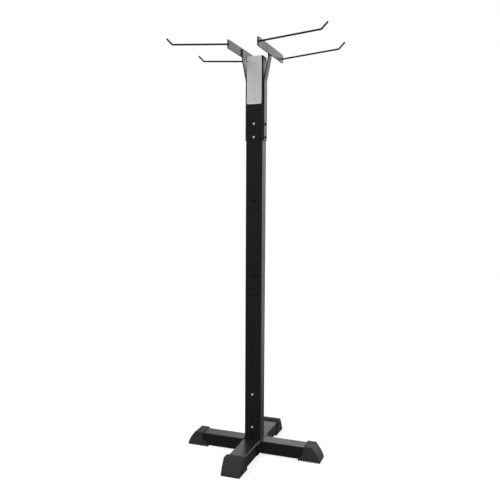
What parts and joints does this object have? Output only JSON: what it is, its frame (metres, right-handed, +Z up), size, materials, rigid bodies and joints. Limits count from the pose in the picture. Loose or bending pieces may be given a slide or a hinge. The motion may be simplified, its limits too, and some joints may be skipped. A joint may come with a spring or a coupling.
{
  "type": "exercise mat rack",
  "caption": "Free-standing rack: a rectangular post on a cross-shaped base, with upturned hooks at the top that exercise mats hang from by their eyelets.",
  "frame": {"origin": "on the floor, on the post's axis", "axes": "+X to the right-hand hooks, -Y to the front, where the name plate is, +Z up"},
  "size_m": [0.7404, 0.6654, 1.9376],
  "materials": {
    "black_paint": "satin black powder coat",
    "moulded_plastic": "fine matt grain",
    "plate_metal": "satin",
    "bright_zinc": "bright zinc plating",
    "dark_zinc": "black zinc plating"
  },
  "bodies": {
    "root": {"arm_left": "black_paint", "arm_right": "black_paint", "base_beam": "black_paint", "crossbar_left": "black_paint", "crossbar_right": "black_paint", "face_bolt_front_lower": "bright_zinc", "face_bolt_front_upper": "bright_zinc", "face_bolt_rear_lower": "bright_zinc", "face_bolt_rear_upper": "bright_zinc", "face_nut_front_lower": "bright_zinc", "face_nut_front_upper": "bright_zinc", "face_nut_rear_lower": "bright_zinc", "face_nut_rear_upper": "bright_zinc", "flange_bolt_front": "dark_zinc", "flange_bolt_rear": "dark_zinc", "flange_left": "black_paint", "flange_nut_front": "dark_zinc", "flange_nut_rear": "dark_zinc", "flange_right": "black_paint", "flange_washer_left_front": "dark_zinc", "flange_washer_left_rear": "dark_zinc", "flange_washer_right_front": "dark_zinc", "flange_washer_right_rear": "dark_zinc", "foot_front": "moulded_plastic", "foot_left": "moulded_plastic", "foot_rear": "moulded_plastic", "foot_right": "moulded_plastic", "hook_left_front": "black_paint", "hook_left_rear": "black_paint", "hook_right_front": "black_paint", "hook_right_rear": "black_paint", "name_plate": "plate_metal", "plate_screw_lower": "bright_zinc", "plate_screw_upper": "bright_zinc", "post": "black_paint", "post_cap": "moulded_plastic", "post_spigot": "black_paint", "spigot_bolt_lower": "bright_zinc", "spigot_bolt_upper": "bright_zinc", "spigot_nut_lower": "bright_zinc", "spigot_nut_upper": "bright_zinc", "spigot_washer_lower": "bright_zinc", "spigot_washer_upper": "bright_zinc", "strap_bolt_left_lower": "dark_zinc", "strap_bolt_left_upper": "dark_zinc", "strap_bolt_right_lower": "dark_zinc", "strap_bolt_right_upper": "dark_zinc", "strap_left": "black_paint", "strap_nut_left_lower": "bright_zinc", "strap_nut_left_upper": "bright_zinc", "strap_nut_right_lower": "bright_zinc", "strap_nut_right_upper": "bright_zinc", "strap_right": "black_paint"}
  },
  "joints": []
}
